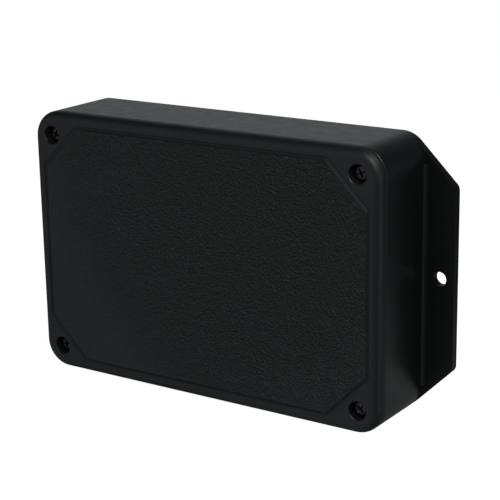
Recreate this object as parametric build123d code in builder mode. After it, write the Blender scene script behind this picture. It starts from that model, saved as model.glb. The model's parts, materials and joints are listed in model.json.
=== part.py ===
from build123d import *
import os

# Cellular signal booster in a flanged moulded case, lid to the front (-Y), ports on the left (-X).
# Millimetres. Origin: centre of the case's bottom face. +X right, +Y towards the wall, +Z up.

# ---------------------------------------------------------------- case, driving dimensions
case_width = 118.4
case_height = 80.0
case_depth = 27.0
corner_radius = 8.0
wall = 2.2
floor = 2.2
rim_rounding = 0.3

lid_plate = 3.0
lid_edge_radius = 2.6
parting_gap = 0.2
tongue_height = 1.5
tongue_width = 1.5
tongue_clearance = 0.3
groove_inset = 3.3
groove_slope_width = 0.4
groove_floor_width = 0.1
groove_depth = 0.25
groove_corner_leg = 12.6

flange_width = 9.4
flange_plate = 2.6
flange_tip_inset = 15.0
flange_tip_radius = 2.5
flange_hole_radius = 2.05
flange_hole_offset = 5.0
flange_cove = 1.2

screw_inset = 7.0
boss_radius = 4.0
rib_width = 2.0
lid_pad_depth = 2.2
counterbore_radius = 2.65
counterbore_depth = 3.8
counterbore_rim = 0.25
lid_hole_radius = 1.45
insert_radius = 2.0
insert_length = 6.0
insert_bore_radius = 1.3
insert_waist_depth = 0.25
insert_waist_length = 1.2
boss_bore_radius = 1.5
boss_bore_depth = 12.0

# ---------------------------------------------------------------- fasteners
lid_screw_radius = 1.25
lid_screw_length = 12.0
lid_screw_head_radius = 2.35
lid_screw_head_height = 1.9
board_screw_radius = 1.25
board_screw_length = 5.5
board_screw_head_radius = 2.3
board_screw_head_height = 1.6
head_rounding = 0.7
tip_chamfer = 0.35
cross_width = 0.8
cross_length = 2.6
cross_depth = 1.1
cross_taper = 12.0

# ---------------------------------------------------------------- circuit board and heat path
standoff_height = 5.0
standoff_radius = 3.0
standoff_x = 41.0
standoff_z = 30.0
pilot_radius = 1.3
board_thickness = 1.6
board_width = 111.0
board_height = 72.0
board_notch_x = 9.0
board_notch_z = 8.5
board_notch_radius = 1.5
board_hole_radius = 1.4
spreader_width = 60.0
spreader_height = 52.0
spreader_thickness = 2.5
spreader_x = -8.0
spreader_corner_radius = 3.0
spreader_chamfer = 0.4
gap_pad_inset = 6.0

# ---------------------------------------------------------------- ports on the left wall
jack_axis_above_board = 3.3
donor_jack_z = 61.0
server_jack_z = 19.0
power_jack_z = 31.5
light_pipe_z = 49.0
jack_thread_radius = 3.175
jack_shank_radius = 3.0
jack_reach = 9.0
jack_mouth_chamfer = 0.3
jack_wall_clearance = 0.1
jack_block = 6.4
jack_block_length = 8.5
jack_back_wall = 1.5
jack_socket_radius = 2.3
jack_socket_depth = 1.9
jack_core_radius = 2.05
contact_radius = 0.635
contact_reach = 0.5
contact_bore_radius = 0.47
contact_bore_depth = 3.0
contact_tail_radius = 0.45
contact_tail_hole_radius = 1.1
leg_radius = 0.5
leg_spacing = 4.4
leg_below_board = 1.0
solder_hole_clearance = 0.15
washer_radius = 4.6
washer_thickness = 0.6
nut_across_flats = 8.0
nut_corner_radius = 4.44
nut_thickness = 2.0
nut_clearance = 0.05
jack_relief_radius = 2.85
jack_relief_width = 0.4

power_block_width = 9.0
power_block_height = 10.8
power_block_length = 13.5
power_nose_radius = 4.0
power_nose_setback = 0.2
power_nose_chamfer = 0.2
power_socket_radius = 2.8
power_socket_depth = 9.0
power_pin_radius = 1.0
power_pin_recess = 0.8
power_pin_rounding = 0.4
power_axis_above_board = 6.3
power_spring_width = 2.0
power_spring_thickness = 0.35
power_spring_length = 6.0
blade_thickness = 0.8
blade_width = 2.0
blade_clearance = 0.1

light_pipe_radius = 1.5
light_pipe_head_radius = 2.1
light_pipe_head = 0.5
light_pipe_rounding = 0.3
light_pipe_clearance = 0.05
led_width = 3.0
led_height = 3.4
led_length = 1.6
led_setback = 3.5
led_gap = 0.3

# ---------------------------------------------------------------- radio paths
shield_width = 42.0
shield_height = 25.0
shield_x = -10.0
shield_offset_z = 17.0
frame_wall = 0.4
frame_height = 3.6
frame_ledge = 1.4
cover_skin = 0.3
cover_skirt = 2.4
cover_hole_radius = 0.6
cover_hole_pitch = 6.0
duplexer_setback = 21.5
duplexer_width = 5.0
duplexer_height = 11.0
duplexer_thickness = 3.0
duplexer_edge = 0.2
# offset from the shield's centre, width, height, thickness, edge chamfer
shielded_chips = {
    "power_amplifier": (9.0, 6.0, 6.0, 1.1, 0.1),
    "low_noise_amplifier": (-12.0, 3.0, 3.0, 0.9, 0.08),
    "band_filter": (-2.0, 3.8, 3.8, 1.3, 0.1),
}

# ---------------------------------------------------------------- control and power supply
# place across, place above the board's middle, width, height, thickness, edge chamfer
open_chips = {
    "microcontroller": (25.0, 8.0, 7.0, 7.0, 1.0, 0.1),
    "voltage_regulator": (24.0, -13.0, 6.5, 6.1, 2.3, 0.2),
}
crystal_x = 25.0
crystal_above_middle = 19.0
crystal_width = 11.0
crystal_height = 4.6
crystal_thickness = 3.4
crystal_rounding = 0.5
inductor_x = 38.0
inductor_below_middle = 11.0
inductor_size = 8.0
inductor_thickness = 4.2
inductor_corner_radius = 1.2
inductor_chamfer = 0.4
can_places = {"input_capacitor": 26.0, "output_capacitor": 38.0}
can_below_middle = 22.0
can_radius = 4.0
can_height = 8.5
can_rounding = 0.6
can_base_size = 8.3
can_base_chamfer = 1.2
can_base_thickness = 1.0
passive_length = 1.6
passive_width = 0.8
resistor_thickness = 0.45
capacitor_thickness = 0.8
passive_column_x = 38.5
passive_pitch_x = 3.2
passive_pitch_z = 3.6
resistors_above_middle = 6.0
capacitors_above_middle = 24.0
middle_row_pitch = 5.0
shielded_pitch_x = 6.5
shielded_pitch_z = 13.0

# ---------------------------------------------------------------- places worked out from the above
front_y = -case_depth / 2
back_y = case_depth / 2
parting_y = front_y + lid_plate
rim_y = parting_y + parting_gap
floor_y = back_y - floor
half_width = case_width / 2
mid_z = case_height / 2
inner_left_x = -half_width + wall
boss_x = half_width - screw_inset
boss_z = mid_z - screw_inset
pad_y = parting_y + lid_pad_depth
seat_y = front_y + counterbore_depth
board_back_y = floor_y - standoff_height
board_front_y = board_back_y - board_thickness
jack_y = board_front_y - jack_axis_above_board
jack_block_x = inner_left_x + jack_block_length / 2
power_y = board_front_y - power_axis_above_board
power_nose_x = power_nose_setback - half_width
power_back_x = inner_left_x + power_block_length
power_pin_base_x = power_nose_x + power_socket_depth
blade_x = power_back_x + blade_thickness / 2
spring_x = power_pin_base_x - blade_thickness / 2
led_y = board_front_y - led_height / 2
led_x = inner_left_x + led_setback
pipe_end_x = led_x - led_gap
blade_end_y = board_back_y + leg_below_board
spring_y = power_y + power_socket_radius - power_spring_thickness
shield_top_y = board_front_y - frame_height
can_z = mid_z - can_below_middle
path_places = {"uplink": mid_z + shield_offset_z, "downlink": mid_z - shield_offset_z}
jack_places = {"donor": donor_jack_z, "server": server_jack_z}
corners = {
    "upper_left": (-boss_x, mid_z + boss_z),
    "upper_right": (boss_x, mid_z + boss_z),
    "lower_left": (-boss_x, mid_z - boss_z),
    "lower_right": (boss_x, mid_z - boss_z),
}


def facing_front(y, x=0.0, z=mid_z):
    """A plane at depth y whose normal is -Y, with its own x along X and its own y along Z."""
    return Plane((x, y, z), x_dir=(1, 0, 0), z_dir=(0, -1, 0))


def facing_left(x, y, z):
    """A plane on the left wall whose normal is -X, with its own x along Z and its own y along Y."""
    return Plane((x, y, z), x_dir=(0, 0, 1), z_dir=(-1, 0, 0))


def save(part, name):
    """Label a finished piece and write it to its own STEP file."""
    part.label = name
    export_step(part, f"parts/{name}.step")


def chamfered_panel(inset):
    """Outline of the lid's textured panel, cut back at its corners to pass round the screws."""
    with BuildSketch() as outline:
        Rectangle(case_width - 2 * inset, case_height - 2 * inset)
        chamfer(outline.vertices(), groove_corner_leg)
    return outline.sketch


def machine_screw(planes, length, shank_radius, head_radius, head_height):
    """Pan-head screws seated on the given planes, each with a cross recess in its head."""
    with BuildPart() as screws:
        for seat in planes:
            with BuildSketch(seat):
                Circle(shank_radius)
            extrude(amount=-length)
            with BuildSketch(seat):
                Circle(head_radius)
            extrude(amount=head_height)
        rims = screws.edges().filter_by(GeomType.CIRCLE)
        top_rims = rims.group_by(Axis.Y)[0]
        tip_rims = rims.group_by(Axis.Y)[-1]
        fillet(top_rims, head_rounding)
        chamfer(tip_rims, tip_chamfer)
        for seat in planes:
            with BuildSketch(seat.offset(head_height)):
                Rectangle(cross_length, cross_width)
                Rectangle(cross_width, cross_length)
            extrude(amount=-cross_depth, taper=cross_taper, mode=Mode.SUBTRACT)
    return screws.part


def chip(x, z, width, height, thickness, y=board_front_y, edge=0.0):
    """A rectangular component standing on the board's front face."""
    with BuildPart() as body:
        with BuildSketch(facing_front(y, x, z)):
            Rectangle(width, height)
        extrude(amount=thickness)
        if edge > 0:
            chamfer(body.faces().sort_by(Axis.Y)[0].edges(), edge)
    return body.part


os.makedirs("parts", exist_ok=True)

# ---------------------------------------------------------------- base case
with BuildPart() as base_case:
    with BuildSketch(facing_front(back_y)):
        RectangleRounded(case_width, case_height, corner_radius)
    extrude(amount=back_y - rim_y)
    front_rim = base_case.faces().sort_by(Axis.Y)[0].edges()
    fillet(front_rim, rim_rounding)

    # wall-fixing flange at the back, tapering to its tips on both sides
    with BuildSketch(facing_front(back_y)):
        with GridLocations(case_width - 2 * corner_radius, case_height - 2 * corner_radius, 2, 2):
            Circle(corner_radius)
        tip_x = half_width + flange_width - flange_tip_radius
        tip_z = mid_z - flange_tip_inset
        with GridLocations(2 * tip_x, 2 * tip_z, 2, 2):
            Circle(flange_tip_radius)
        make_hull()
    extrude(amount=flange_plate)

    # cove between the side walls and the flange
    with BuildSketch(Plane.XY.offset(corner_radius)):
        for side in (-1, 1):
            wall_x = side * half_width
            flange_y = back_y - flange_plate
            with Locations((wall_x + side * flange_cove / 2, flange_y - flange_cove / 2)):
                Rectangle(flange_cove, flange_cove)
            with Locations((wall_x + side * flange_cove, flange_y - flange_cove)):
                Circle(flange_cove, mode=Mode.SUBTRACT)
    extrude(amount=case_height - 2 * corner_radius)

    # cavity, open at the front
    with BuildSketch(facing_front(floor_y)):
        RectangleRounded(case_width - 2 * wall, case_height - 2 * wall, corner_radius - wall)
    extrude(amount=floor_y - front_y, mode=Mode.SUBTRACT)

    # corner bosses, each braced to both walls by a rib
    rib_length = screw_inset - wall / 2
    rib_x = boss_x + rib_length / 2
    rib_z = boss_z + rib_length / 2
    with BuildSketch(facing_front(floor_y)):
        with GridLocations(2 * boss_x, 2 * boss_z, 2, 2):
            Circle(boss_radius)
        with GridLocations(2 * rib_x, 2 * boss_z, 2, 2):
            Rectangle(rib_length, rib_width)
        with GridLocations(2 * boss_x, 2 * rib_z, 2, 2):
            Rectangle(rib_width, rib_length)
    extrude(amount=floor_y - pad_y)

    # board standoffs
    with BuildSketch(facing_front(floor_y)):
        with GridLocations(2 * standoff_x, 2 * standoff_z, 2, 2):
            Circle(standoff_radius)
    extrude(amount=standoff_height)
    with Locations(facing_front(board_back_y)):
        with GridLocations(2 * standoff_x, 2 * standoff_z, 2, 2):
            Hole(pilot_radius, depth=standoff_height)

    # pockets for the brass inserts, with screw clearance below
    with Locations(facing_front(pad_y)):
        with GridLocations(2 * boss_x, 2 * boss_z, 2, 2):
            Hole(insert_radius, depth=insert_length)
            Hole(boss_bore_radius, depth=boss_bore_depth)

    # flange holes
    with Locations(facing_front(back_y - flange_plate)):
        with GridLocations(2 * (half_width + flange_hole_offset), 1, 2, 1):
            Hole(flange_hole_radius, depth=flange_plate)

    # port holes in the left wall
    for port_z in (donor_jack_z, server_jack_z):
        with Locations(facing_left(-half_width, jack_y, port_z)):
            Hole(jack_thread_radius + jack_wall_clearance, depth=wall)
    with Locations(facing_left(-half_width, power_y, power_jack_z)):
        Hole(power_nose_radius + jack_wall_clearance, depth=wall)
    with Locations(facing_left(-half_width, led_y, light_pipe_z)):
        Hole(light_pipe_radius + light_pipe_clearance, depth=wall)

save(base_case.part, "base_case")

# ---------------------------------------------------------------- lid
groove_floor_y = front_y + groove_depth
floor_outer_inset = groove_inset + groove_slope_width
floor_inner_inset = floor_outer_inset + groove_floor_width
panel_inset = floor_inner_inset + groove_slope_width

with BuildPart() as groove:
    with BuildSketch(facing_front(front_y)):
        add(chamfered_panel(groove_inset))
    with BuildSketch(facing_front(groove_floor_y)):
        add(chamfered_panel(floor_outer_inset))
    loft(ruled=True)
    with BuildSketch(facing_front(front_y)):
        add(chamfered_panel(panel_inset))
    with BuildSketch(facing_front(groove_floor_y)):
        add(chamfered_panel(floor_inner_inset))
    loft(ruled=True, mode=Mode.SUBTRACT)

with BuildPart() as lid:
    with BuildSketch(facing_front(parting_y)):
        RectangleRounded(case_width, case_height, corner_radius)
    extrude(amount=lid_plate)
    fillet(lid.faces().sort_by(Axis.Y)[0].edges(), lid_edge_radius)

    # tongue that locates the lid inside the walls
    with BuildSketch(facing_front(parting_y)):
        tongue_inset = wall + tongue_clearance
        RectangleRounded(
            case_width - 2 * tongue_inset, case_height - 2 * tongue_inset, corner_radius - tongue_inset
        )
        inner_inset = tongue_inset + tongue_width
        RectangleRounded(
            case_width - 2 * inner_inset,
            case_height - 2 * inner_inset,
            corner_radius - inner_inset,
            mode=Mode.SUBTRACT,
        )
    extrude(amount=-tongue_height)

    # corner pads that carry the screw heads and meet the bosses
    with BuildSketch(facing_front(parting_y)):
        with GridLocations(2 * boss_x, 2 * boss_z, 2, 2):
            Circle(boss_radius)
    extrude(amount=-lid_pad_depth)

    with Locations(facing_front(front_y)):
        with GridLocations(2 * boss_x, 2 * boss_z, 2, 2):
            CounterBoreHole(lid_hole_radius, counterbore_radius, counterbore_depth)
    mouths = lid.edges().filter_by(GeomType.CIRCLE).group_by(Axis.Y)[0]
    chamfer(mouths, counterbore_rim)

    # shallow V-groove round the textured panel
    add(groove.part, mode=Mode.SUBTRACT)

save(lid.part, "lid")

# ---------------------------------------------------------------- lid screws and their inserts
for corner, (x, z) in corners.items():
    lid_screw = machine_screw(
        [facing_front(seat_y, x, z)],
        lid_screw_length,
        lid_screw_radius,
        lid_screw_head_radius,
        lid_screw_head_height,
    )
    save(lid_screw, f"lid_screw_{corner}")

with BuildPart() as brass_inserts:
    for x, z in corners.values():
        with BuildSketch(facing_front(pad_y, x, z)):
            Circle(insert_radius)
            Circle(insert_bore_radius, mode=Mode.SUBTRACT)
        extrude(amount=-insert_length)
        waist_y = pad_y + (insert_length - insert_waist_length) / 2
        with BuildSketch(facing_front(waist_y, x, z)):
            Circle(insert_radius)
            Circle(insert_radius - insert_waist_depth, mode=Mode.SUBTRACT)
        extrude(amount=-insert_waist_length, mode=Mode.SUBTRACT)

save(brass_inserts.part, "brass_inserts")

# ---------------------------------------------------------------- circuit board and its screws
with BuildPart() as main_board:
    with BuildSketch(facing_front(board_back_y)):
        Rectangle(board_width, board_height)
        notch_x = board_width - board_notch_x
        notch_z = board_height - board_notch_z
        with GridLocations(notch_x, notch_z, 2, 2):
            Rectangle(board_notch_x, board_notch_z, mode=Mode.SUBTRACT)
        fillet(vertices(), board_notch_radius)
        with GridLocations(2 * standoff_x, 2 * standoff_z, 2, 2):
            Circle(board_hole_radius, mode=Mode.SUBTRACT)
        for jack_z in jack_places.values():
            with Locations((jack_block_x, jack_z - mid_z)):
                Circle(contact_tail_radius + solder_hole_clearance, mode=Mode.SUBTRACT)
                with GridLocations(leg_spacing, leg_spacing, 2, 2):
                    Circle(leg_radius + solder_hole_clearance, mode=Mode.SUBTRACT)
        with Locations((blade_x, power_jack_z - mid_z), (spring_x, power_jack_z - mid_z)):
            slot = blade_thickness + 2 * blade_clearance
            Rectangle(slot, blade_width + 2 * blade_clearance, mode=Mode.SUBTRACT)
    extrude(amount=board_thickness)

save(main_board.part, "main_board")

standoff_seats = []
for side_x in (-1, 1):
    for side_z in (-1, 1):
        seat = facing_front(board_front_y, side_x * standoff_x, mid_z + side_z * standoff_z)
        standoff_seats.append(seat)
board_screws = machine_screw(
    standoff_seats,
    board_screw_length,
    board_screw_radius,
    board_screw_head_radius,
    board_screw_head_height,
)
save(board_screws, "board_screws")

# ---------------------------------------------------------------- heat spreader and gap pad
with BuildPart() as heat_spreader:
    with BuildSketch(facing_front(floor_y, spreader_x)):
        RectangleRounded(spreader_width, spreader_height, spreader_corner_radius)
    extrude(amount=spreader_thickness)
    chamfer(heat_spreader.faces().sort_by(Axis.Y)[0].edges(), spreader_chamfer)

save(heat_spreader.part, "heat_spreader")

thermal_pad = chip(
    spreader_x,
    mid_z,
    spreader_width - 2 * gap_pad_inset,
    spreader_height - 2 * gap_pad_inset,
    standoff_height - spreader_thickness,
    y=floor_y - spreader_thickness,
)
save(thermal_pad, "thermal_pad")

# ---------------------------------------------------------------- shields and what is under them
for path, path_z in path_places.items():
    with BuildPart() as shield_frame:
        with BuildSketch(facing_front(board_front_y, shield_x, path_z)):
            Rectangle(shield_width, shield_height)
            Rectangle(shield_width - 2 * frame_wall, shield_height - 2 * frame_wall, mode=Mode.SUBTRACT)
        extrude(amount=frame_height)
        with BuildSketch(facing_front(shield_top_y, shield_x, path_z)):
            Rectangle(shield_width, shield_height)
            Rectangle(shield_width - 2 * frame_ledge, shield_height - 2 * frame_ledge, mode=Mode.SUBTRACT)
        extrude(amount=-frame_wall)
    save(shield_frame.part, f"{path}_shield_frame")

    with BuildPart() as shield_cover:
        with BuildSketch(facing_front(shield_top_y, shield_x, path_z)):
            Rectangle(shield_width + 2 * cover_skin, shield_height + 2 * cover_skin)
        extrude(amount=cover_skin)
        with BuildSketch(facing_front(shield_top_y, shield_x, path_z)):
            Rectangle(shield_width + 2 * cover_skin, shield_height + 2 * cover_skin)
            Rectangle(shield_width, shield_height, mode=Mode.SUBTRACT)
        extrude(amount=-cover_skirt)
        with Locations(facing_front(shield_top_y - cover_skin, shield_x, path_z)):
            with GridLocations(cover_hole_pitch, cover_hole_pitch, 6, 3):
                Hole(cover_hole_radius, depth=cover_skin)
    save(shield_cover.part, f"{path}_shield_cover")

    for name, (offset_x, width, height, thickness, edge) in shielded_chips.items():
        shielded_chip = chip(shield_x + offset_x, path_z, width, height, thickness, edge=edge)
        save(shielded_chip, f"{path}_{name}")

# ---------------------------------------------------------------- antenna jacks
for role, jack_z in jack_places.items():
    tip_x = -half_width - jack_reach
    core_x = tip_x + jack_socket_depth
    core_end_x = inner_left_x + jack_block_length - jack_back_wall
    contact_x = core_x - contact_reach
    relief_x = -half_width - washer_thickness - nut_thickness
    leg_end_y = board_back_y + leg_below_board

    with BuildPart() as jack_body:
        with BuildSketch(facing_left(inner_left_x, jack_y, jack_z)):
            Rectangle(jack_block, jack_block)
        extrude(amount=-jack_block_length)
        with BuildSketch(facing_left(inner_left_x, jack_y, jack_z)):
            Circle(jack_shank_radius)
        extrude(amount=inner_left_x - relief_x)
        with BuildSketch(facing_left(relief_x, jack_y, jack_z)):
            Circle(jack_relief_radius)
        extrude(amount=jack_relief_width)
        with BuildSketch(facing_left(relief_x - jack_relief_width, jack_y, jack_z)):
            Circle(jack_thread_radius)
        extrude(amount=relief_x - jack_relief_width - tip_x)
        chamfer(jack_body.faces().sort_by(Axis.X)[0].edges(), jack_mouth_chamfer)
        with BuildSketch(facing_front(leg_end_y, jack_block_x, jack_z)):
            with GridLocations(leg_spacing, leg_spacing, 2, 2):
                Circle(leg_radius)
        extrude(amount=leg_end_y - jack_y - jack_core_radius)
        with Locations(facing_left(tip_x, jack_y, jack_z)):
            Hole(jack_socket_radius, depth=jack_socket_depth)
            Hole(jack_core_radius, depth=core_end_x - tip_x)
        with BuildSketch(facing_front(jack_y + jack_block / 2, jack_block_x, jack_z)):
            Circle(contact_tail_hole_radius)
        extrude(amount=jack_block / 2, mode=Mode.SUBTRACT)
    save(jack_body.part, f"{role}_jack_body")

    with BuildPart() as jack_contact:
        with BuildSketch(facing_left(contact_x, jack_y, jack_z)):
            Circle(contact_radius)
        extrude(amount=contact_x - jack_block_x - contact_tail_radius)
        with BuildSketch(facing_front(leg_end_y, jack_block_x, jack_z)):
            Circle(contact_tail_radius)
        extrude(amount=leg_end_y - jack_y)
        with Locations(facing_left(contact_x, jack_y, jack_z)):
            Hole(contact_bore_radius, depth=contact_bore_depth)
    save(jack_contact.part, f"{role}_jack_contact")

    with BuildPart() as jack_insulator:
        with BuildSketch(facing_left(core_x, jack_y, jack_z)):
            Circle(jack_core_radius)
        extrude(amount=core_x - core_end_x)
        with BuildSketch(facing_left(core_x, jack_y, jack_z)):
            Circle(contact_radius)
        extrude(amount=core_x - jack_block_x - contact_tail_radius, mode=Mode.SUBTRACT)
        with BuildSketch(facing_front(jack_y + jack_block / 2, jack_block_x, jack_z)):
            Circle(contact_tail_radius)
        extrude(amount=jack_block / 2, mode=Mode.SUBTRACT)
    save(jack_insulator.part, f"{role}_jack_insulator")

    with BuildPart() as jack_washer:
        with BuildSketch(facing_left(-half_width, jack_y, jack_z)):
            Circle(washer_radius)
            Circle(jack_shank_radius + nut_clearance, mode=Mode.SUBTRACT)
        extrude(amount=washer_thickness)
    save(jack_washer.part, f"{role}_jack_washer")

    with BuildPart() as jack_nut:
        with BuildSketch(facing_left(-half_width - washer_thickness, jack_y, jack_z)):
            RegularPolygon(nut_across_flats / 2, 6, major_radius=False)
        extrude(amount=nut_thickness)
        with BuildSketch(facing_left(-half_width - washer_thickness, jack_y, jack_z)):
            Circle(nut_corner_radius)
        extrude(amount=nut_thickness, mode=Mode.INTERSECT)
        with BuildSketch(facing_left(-half_width - washer_thickness, jack_y, jack_z)):
            Circle(jack_shank_radius + nut_clearance)
        extrude(amount=nut_thickness, mode=Mode.SUBTRACT)
    save(jack_nut.part, f"{role}_jack_nut")

    duplexer = chip(
        inner_left_x + duplexer_setback,
        jack_z,
        duplexer_width,
        duplexer_height,
        duplexer_thickness,
        edge=duplexer_edge,
    )
    save(duplexer, f"{role}_duplexer")

# ---------------------------------------------------------------- power jack
with BuildPart() as power_jack_housing:
    with BuildSketch(facing_left(inner_left_x, board_front_y - power_block_height / 2, power_jack_z)):
        Rectangle(power_block_width, power_block_height)
    extrude(amount=-power_block_length)
    with BuildSketch(facing_left(inner_left_x, power_y, power_jack_z)):
        Circle(power_nose_radius)
    extrude(amount=inner_left_x - power_nose_x)
    with Locations(facing_left(power_nose_x, power_y, power_jack_z)):
        Hole(power_socket_radius, depth=power_socket_depth)
        Hole(power_pin_radius, depth=power_back_x - power_nose_x)
    mouth = power_jack_housing.edges().filter_by(GeomType.CIRCLE).group_by(Axis.X)[0]
    chamfer(mouth, power_nose_chamfer)
    with BuildSketch(facing_front(board_front_y, spring_x, power_jack_z)):
        Rectangle(blade_thickness, blade_width)
    extrude(amount=board_front_y - spring_y, mode=Mode.SUBTRACT)

save(power_jack_housing.part, "power_jack_housing")

with BuildPart() as power_jack_pin:
    with BuildSketch(facing_left(power_back_x + blade_thickness, power_y, power_jack_z)):
        Circle(power_pin_radius)
    extrude(amount=power_back_x + blade_thickness - power_nose_x - power_pin_recess)
    fillet(power_jack_pin.faces().sort_by(Axis.X)[0].edges(), power_pin_rounding)
    with BuildSketch(facing_front(blade_end_y, blade_x, power_jack_z)):
        Rectangle(blade_thickness, blade_width)
    extrude(amount=blade_end_y - power_y)

save(power_jack_pin.part, "power_jack_pin")

# flat spring along the socket's inner side that grips the plug's sleeve
with BuildPart() as power_jack_spring:
    with BuildSketch(facing_front(spring_y, power_pin_base_x - power_spring_length / 2, power_jack_z)):
        Rectangle(power_spring_length, power_spring_width)
    extrude(amount=power_spring_thickness)
    with BuildSketch(facing_front(blade_end_y, spring_x, power_jack_z)):
        Rectangle(blade_thickness, blade_width)
    extrude(amount=blade_end_y - spring_y)

save(power_jack_spring.part, "power_jack_spring")

# ---------------------------------------------------------------- status light
with BuildPart() as status_led:
    with BuildSketch(facing_left(led_x, led_y, light_pipe_z)):
        Rectangle(led_width, led_height)
    extrude(amount=-led_length)

save(status_led.part, "status_led")

with BuildPart() as light_pipe:
    with BuildSketch(facing_left(pipe_end_x, led_y, light_pipe_z)):
        Circle(light_pipe_radius)
    extrude(amount=pipe_end_x + half_width)
    with BuildSketch(facing_left(-half_width, led_y, light_pipe_z)):
        Circle(light_pipe_head_radius)
    extrude(amount=light_pipe_head)
    fillet(light_pipe.faces().sort_by(Axis.X)[0].edges(), light_pipe_rounding)

save(light_pipe.part, "light_pipe")

# ---------------------------------------------------------------- control, clock and supply
for name, (x, above_middle, width, height, thickness, edge) in open_chips.items():
    open_chip = chip(x, mid_z + above_middle, width, height, thickness, edge=edge)
    save(open_chip, name)

with BuildPart() as crystal:
    with BuildSketch(facing_front(board_front_y, crystal_x, mid_z + crystal_above_middle)):
        SlotOverall(crystal_width, crystal_height)
    extrude(amount=crystal_thickness)
    fillet(crystal.faces().sort_by(Axis.Y)[0].edges(), crystal_rounding)

save(crystal.part, "crystal")

with BuildPart() as power_inductor:
    with BuildSketch(facing_front(board_front_y, inductor_x, mid_z - inductor_below_middle)):
        RectangleRounded(inductor_size, inductor_size, inductor_corner_radius)
    extrude(amount=inductor_thickness)
    chamfer(power_inductor.faces().sort_by(Axis.Y)[0].edges(), inductor_chamfer)

save(power_inductor.part, "power_inductor")

for name, can_x in can_places.items():
    with BuildPart() as can:
        with BuildSketch(facing_front(board_front_y, can_x, can_z)):
            Rectangle(can_base_size, can_base_size)
            chamfer(vertices().group_by(Axis.Z)[0], can_base_chamfer)
        extrude(amount=can_base_thickness)
        with BuildSketch(facing_front(board_front_y, can_x, can_z)):
            Circle(can_radius)
        extrude(amount=can_height)
        fillet(can.faces().sort_by(Axis.Y)[0].edges(), can_rounding)
    save(can.part, name)

with BuildPart() as chip_resistors:
    with BuildSketch(facing_front(board_front_y, passive_column_x, mid_z + resistors_above_middle)):
        with GridLocations(passive_pitch_x, passive_pitch_z, 4, 3):
            Rectangle(passive_length, passive_width)
    extrude(amount=resistor_thickness)
    with BuildSketch(facing_front(board_front_y, shield_x, mid_z)):
        with GridLocations(middle_row_pitch, 1, 8, 1):
            Rectangle(passive_width, passive_length)
    extrude(amount=resistor_thickness)

save(chip_resistors.part, "chip_resistors")

with BuildPart() as chip_capacitors:
    for path_z in path_places.values():
        with BuildSketch(facing_front(board_front_y, shield_x, path_z)):
            with GridLocations(shielded_pitch_x, shielded_pitch_z, 5, 2):
                Rectangle(passive_length, passive_width)
        extrude(amount=capacitor_thickness)
    with BuildSketch(facing_front(board_front_y, passive_column_x, mid_z + capacitors_above_middle)):
        with GridLocations(passive_pitch_x, passive_pitch_z, 3, 2):
            Rectangle(passive_length, passive_width)
    extrude(amount=capacitor_thickness)

save(chip_capacitors.part, "chip_capacitors")
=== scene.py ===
import json
import math

import bmesh
import bpy
from mathutils import Matrix, Vector


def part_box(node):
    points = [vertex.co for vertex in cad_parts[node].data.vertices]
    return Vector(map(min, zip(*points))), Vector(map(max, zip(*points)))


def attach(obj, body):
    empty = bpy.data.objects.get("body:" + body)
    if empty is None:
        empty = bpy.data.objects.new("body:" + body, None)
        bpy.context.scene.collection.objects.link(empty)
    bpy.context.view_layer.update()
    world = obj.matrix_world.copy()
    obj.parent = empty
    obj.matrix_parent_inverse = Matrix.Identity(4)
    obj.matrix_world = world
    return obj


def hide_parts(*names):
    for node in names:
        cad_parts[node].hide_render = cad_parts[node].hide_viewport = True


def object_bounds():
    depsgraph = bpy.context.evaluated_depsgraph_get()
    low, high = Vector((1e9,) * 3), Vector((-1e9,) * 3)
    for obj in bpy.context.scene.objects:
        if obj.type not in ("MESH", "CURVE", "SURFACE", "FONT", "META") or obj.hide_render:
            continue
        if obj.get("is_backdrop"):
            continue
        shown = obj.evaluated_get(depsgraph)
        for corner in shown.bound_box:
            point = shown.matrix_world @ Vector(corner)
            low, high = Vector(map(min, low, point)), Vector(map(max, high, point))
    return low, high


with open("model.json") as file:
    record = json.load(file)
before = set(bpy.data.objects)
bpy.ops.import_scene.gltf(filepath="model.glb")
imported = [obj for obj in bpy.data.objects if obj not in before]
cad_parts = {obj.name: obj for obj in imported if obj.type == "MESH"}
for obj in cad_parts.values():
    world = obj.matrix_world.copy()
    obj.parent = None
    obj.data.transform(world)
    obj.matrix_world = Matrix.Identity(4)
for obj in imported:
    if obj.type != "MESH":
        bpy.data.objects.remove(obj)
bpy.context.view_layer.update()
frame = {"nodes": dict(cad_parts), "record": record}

MM = 0.001
nodes = frame["nodes"]
lid_low, lid_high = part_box("lid")
base_low, base_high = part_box("base_case")
MID_Z = (lid_low.z + lid_high.z) / 2
FRONT_Y = lid_low.y
BOARD_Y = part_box("main_board")[0].y
CORNERS = ("upper_left", "upper_right", "lower_left", "lower_right")
JACKS = ("donor", "server")
PATHS = ("uplink", "downlink")


# ---------------- camera
def towards(azimuth, elevation):
    """Unit vector from the object to a place seen at that azimuth from the front and that height."""
    a, e = math.radians(azimuth), math.radians(elevation)
    return Vector((math.sin(a) * math.cos(e), -math.cos(a) * math.cos(e), math.sin(e)))


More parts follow.
